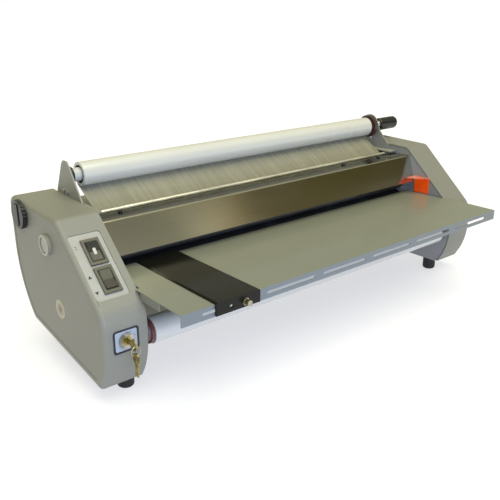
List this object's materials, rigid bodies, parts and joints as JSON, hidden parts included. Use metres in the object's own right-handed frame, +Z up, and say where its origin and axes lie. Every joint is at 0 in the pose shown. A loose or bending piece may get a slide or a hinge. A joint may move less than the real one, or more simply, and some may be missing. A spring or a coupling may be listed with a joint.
{
  "type": "cold roll laminator",
  "caption": "Desktop cold roll laminator with nip rollers, film supply rolls, sliding feed table, side guide and key lock.",
  "frame": {"origin": "on the ground, below the middle of the overall box", "axes": "+X along the rollers to the operator's right, -Y towards the operator, +Z up"},
  "size_m": [0.8865, 0.3964, 0.3145],
  "materials": {
    "housing_paint": "fine textured grey powder paint",
    "frame_steel": "smooth dark grey paint",
    "stainless": "polished brushed stainless steel",
    "table_paint": "glossy warm grey enamel",
    "deck_paint": "glossy olive grey enamel",
    "bright_steel": "bright plated steel",
    "black_metal": "gloss black enamel",
    "black_screw": "black oxide",
    "roller_rubber": "ground silicone rubber, satin",
    "foot_rubber": "matte moulded rubber",
    "black_plastic": "moulded satin plastic",
    "grey_plastic": "moulded satin plastic",
    "white_plastic": "gloss moulded plastic",
    "panel_film": "printed panel film, satin",
    "label_blue": "printed label, satin",
    "guard_orange": "clear orange acrylic",
    "clear_film": "clear plastic film",
    "film_roll": "wound clear film, glossy",
    "core_card": "wound cardboard",
    "flange_brown": "moulded plastic",
    "brass": "worn key brass",
    "bush_bronze": "oiled bronze",
    "gear_nylon": "machined nylon",
    "board_green": "coated circuit board"
  },
  "bodies": {
    "frame": {"left_cover": "housing_paint", "right_cover": "housing_paint", "left_side_frame": "frame_steel", "right_side_frame": "frame_steel", "rear_cover": "deck_paint", "top_deck": "deck_paint", "tie_bars": "bright_steel", "shield_rail": "frame_steel", "front_shield": "stainless", "frame_screws": "black_screw", "nip_guard": "guard_orange", "table_pins": "bright_steel", "left_film_bracket": "deck_paint", "right_film_bracket": "deck_paint", "shaft_socket": "black_plastic", "upper_film_web": "clear_film", "lower_roller_bushes": "bush_bronze", "gear_motor": "black_metal", "control_board": "board_green", "mains_inlet": "black_plastic", "control_panel": "panel_film", "power_switch_body": "black_plastic", "direction_switch_body": "black_plastic", "lock_label": "label_blue", "lock_barrel": "bright_steel", "side_plug": "grey_plastic", "feet": "foot_rubber"},
    "upper_supply": {"upper_film_shaft": "bright_steel", "upper_film_chucks": "flange_brown", "upper_film_core": "core_card", "upper_film_roll": "film_roll", "tension_washers": "bright_steel", "tension_spring": "bright_steel"},
    "tension_knob": {"tension_knob": "black_plastic"},
    "lower_supply": {"lower_film_shaft": "bright_steel", "lower_film_chucks": "flange_brown", "lower_film_core": "core_card", "lower_film_roll": "film_roll"},
    "idler": {"idler_bar": "bright_steel"},
    "lower_nip": {"lower_nip_roller": "roller_rubber", "lower_roller_shaft": "bright_steel", "roller_gear": "gear_nylon"},
    "upper_nip": {"upper_nip_roller": "roller_rubber", "upper_roller_shaft": "bright_steel"},
    "pressure_arms": {"left_pressure_arm": "frame_steel", "right_pressure_arm": "frame_steel", "arm_cross_shaft": "bright_steel", "upper_roller_bushes": "bush_bronze"},
    "pressure_cam": {"pressure_cam_shaft": "bright_steel", "pressure_knob": "black_plastic"},
    "pinion": {"motor_pinion": "bright_steel"},
    "feed_table": {"feed_table": "table_paint"},
    "side_guide": {"side_guide": "black_metal", "guide_nut": "bright_steel"},
    "thumbscrew": {"guide_thumbscrew": "bright_steel"},
    "power_rocker": {"power_rocker": "black_plastic"},
    "direction_rocker": {"direction_rocker": "black_plastic"},
    "lock_key": {"lock_key": "brass"},
    "key_ring": {"key_ring": "bright_steel"},
    "spare_key": {"spare_key": "brass"}
  },
  "joints": [
    {"name": "upper_supply_spin", "type": "hinge", "parent": "frame", "child": "upper_supply", "pos_m": [0, 0.1334, 0.2903], "axis": [1, 0, 0], "continuous": true},
    {"name": "tension_knob_turn", "type": "hinge", "parent": "upper_supply", "child": "tension_knob", "pos_m": [0.42, 0.1334, 0.2903], "axis": [1, 0, 0], "range_deg": [-360, 360]},
    {"name": "lower_supply_spin", "type": "hinge", "parent": "frame", "child": "lower_supply", "pos_m": [0, -0.0667, 0.0933], "axis": [1, 0, 0], "continuous": true},
    {"name": "idler_spin", "type": "hinge", "parent": "frame", "child": "idler", "pos_m": [0, 0.076, 0.2385], "axis": [1, 0, 0], "continuous": true},
    {"name": "lower_nip_spin", "type": "hinge", "parent": "frame", "child": "lower_nip", "pos_m": [0, 0.048, 0.13985], "axis": [1, 0, 0], "continuous": true},
    {"name": "upper_nip_spin", "type": "hinge", "parent": "pressure_arms", "child": "upper_nip", "pos_m": [0, 0.048, 0.19215], "axis": [1, 0, 0], "continuous": true},
    {"name": "pinion_spin", "type": "hinge", "parent": "frame", "child": "pinion", "pos_m": [-0.379, 0.096, 0.13985], "axis": [1, 0, 0], "continuous": true},
    {"name": "pressure_knob_turn", "type": "hinge", "parent": "frame", "child": "pressure_cam", "pos_m": [-0.4, 0.149, 0.239], "axis": [1, 0, 0], "range_deg": [0, 90]},
    {"name": "pressure_arms_lift", "type": "hinge", "parent": "frame", "child": "pressure_arms", "pos_m": [0, 0.18, 0.2], "axis": [-1, 0, 0], "range_deg": [0, 1.73]},
    {"name": "feed_table_slide", "type": "slide", "parent": "frame", "child": "feed_table", "axis": [0, -1, 0], "range_m": [0, 0.07]},
    {"name": "side_guide_slide", "type": "slide", "parent": "feed_table", "child": "side_guide", "axis": [1, 0, 0], "range_m": [-0.05, 0.02]},
    {"name": "thumbscrew_turn", "type": "hinge", "parent": "side_guide", "child": "thumbscrew", "pos_m": [-0.2635, -0.19, 0.157], "axis": [0, 1, 0], "range_deg": [0, 360]},
    {"name": "power_rocker_tilt", "type": "hinge", "parent": "frame", "child": "power_rocker", "pos_m": [-0.4, -0.01398, 0.21385], "axis": [1, 0, 0], "range_deg": [-16, 0]},
    {"name": "direction_rocker_tilt", "type": "hinge", "parent": "frame", "child": "direction_rocker", "pos_m": [-0.4, -0.04891, 0.1824], "axis": [1, 0, 0], "range_deg": [-8, 8]},
    {"name": "lock_turn", "type": "hinge", "parent": "frame", "child": "lock_key", "pos_m": [-0.4015, -0.093, 0.105], "axis": [0, 1, 0], "range_deg": [0, 90]},
    {"name": "key_ring_swing", "type": "hinge", "parent": "lock_key", "child": "key_ring", "pos_m": [-0.4015, -0.1176, 0.105], "axis": [0, 1, 0], "range_deg": [-40, 20]},
    {"name": "spare_key_swing", "type": "hinge", "parent": "key_ring", "child": "spare_key", "pos_m": [-0.4015, -0.1176, 0.091], "axis": [1, 0, 0], "range_deg": [-40, 15]}
  ],
  "couplings": [
    {"joint": "upper_nip_spin", "follows": "lower_nip_spin", "ratio": -1},
    {"joint": "pinion_spin", "follows": "lower_nip_spin", "ratio": -2.2},
    {"joint": "pressure_knob_turn", "follows": "pressure_arms_lift", "ratio": 52}
  ]
}
